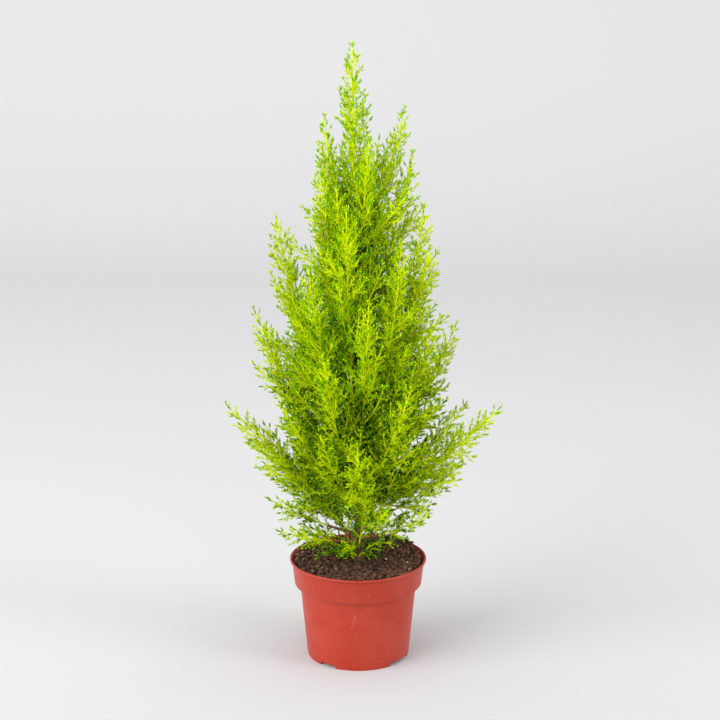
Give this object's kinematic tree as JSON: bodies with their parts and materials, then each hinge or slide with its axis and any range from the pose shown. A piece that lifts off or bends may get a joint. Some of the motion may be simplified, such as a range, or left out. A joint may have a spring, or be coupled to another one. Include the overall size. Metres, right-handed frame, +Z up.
{
  "type": "potted monterey cypress",
  "caption": "Slender young golden conifer with steep feathery boughs, standing in a round plastic nursery pot.",
  "frame": {"origin": "centre of the pot's flat underside, on the floor it stands on", "axes": "+Z up along the trunk to the leading shoot, +X to the right as the picture shows it, +Y away from the viewer"},
  "size_m": [0.2577, 0.1977, 0.584],
  "materials": {
    "pot_plastic": "satin",
    "compost": "matte",
    "bark": "matte",
    "needles": "matte"
  },
  "bodies": {
    "root": {"pot": "pot_plastic", "compost": "compost", "trunk": "bark", "bough_01": "bark", "bough_02": "bark", "bough_03": "bark", "bough_04": "bark", "bough_05": "bark", "bough_06": "bark", "bough_07": "bark", "bough_08": "bark", "bough_09": "bark", "bough_10": "bark", "bough_11": "bark", "bough_12": "bark", "foliage_01": "needles", "foliage_02": "needles", "foliage_03": "needles", "foliage_04": "needles", "foliage_05": "needles", "foliage_06": "needles", "foliage_07": "needles", "foliage_08": "needles", "foliage_09": "needles", "foliage_10": "needles", "foliage_11": "needles", "foliage_12": "needles", "foliage_13": "needles", "foliage_14": "needles", "foliage_15": "needles", "foliage_16": "needles", "foliage_17": "needles", "foliage_18": "needles", "foliage_19": "needles", "foliage_20": "needles", "foliage_21": "needles", "foliage_22": "needles", "foliage_23": "needles", "foliage_24": "needles", "foliage_25": "needles", "foliage_26": "needles", "foliage_27": "needles", "foliage_28": "needles", "foliage_29": "needles", "foliage_30": "needles", "foliage_31": "needles", "foliage_32": "needles", "foliage_33": "needles", "foliage_34": "needles", "foliage_35": "needles", "foliage_36": "needles", "foliage_37": "needles", "foliage_38": "needles", "foliage_39": "needles", "foliage_40": "needles", "foliage_41": "needles", "foliage_42": "needles", "foliage_43": "needles", "foliage_44": "needles", "foliage_leader": "needles"}
  },
  "joints": []
}
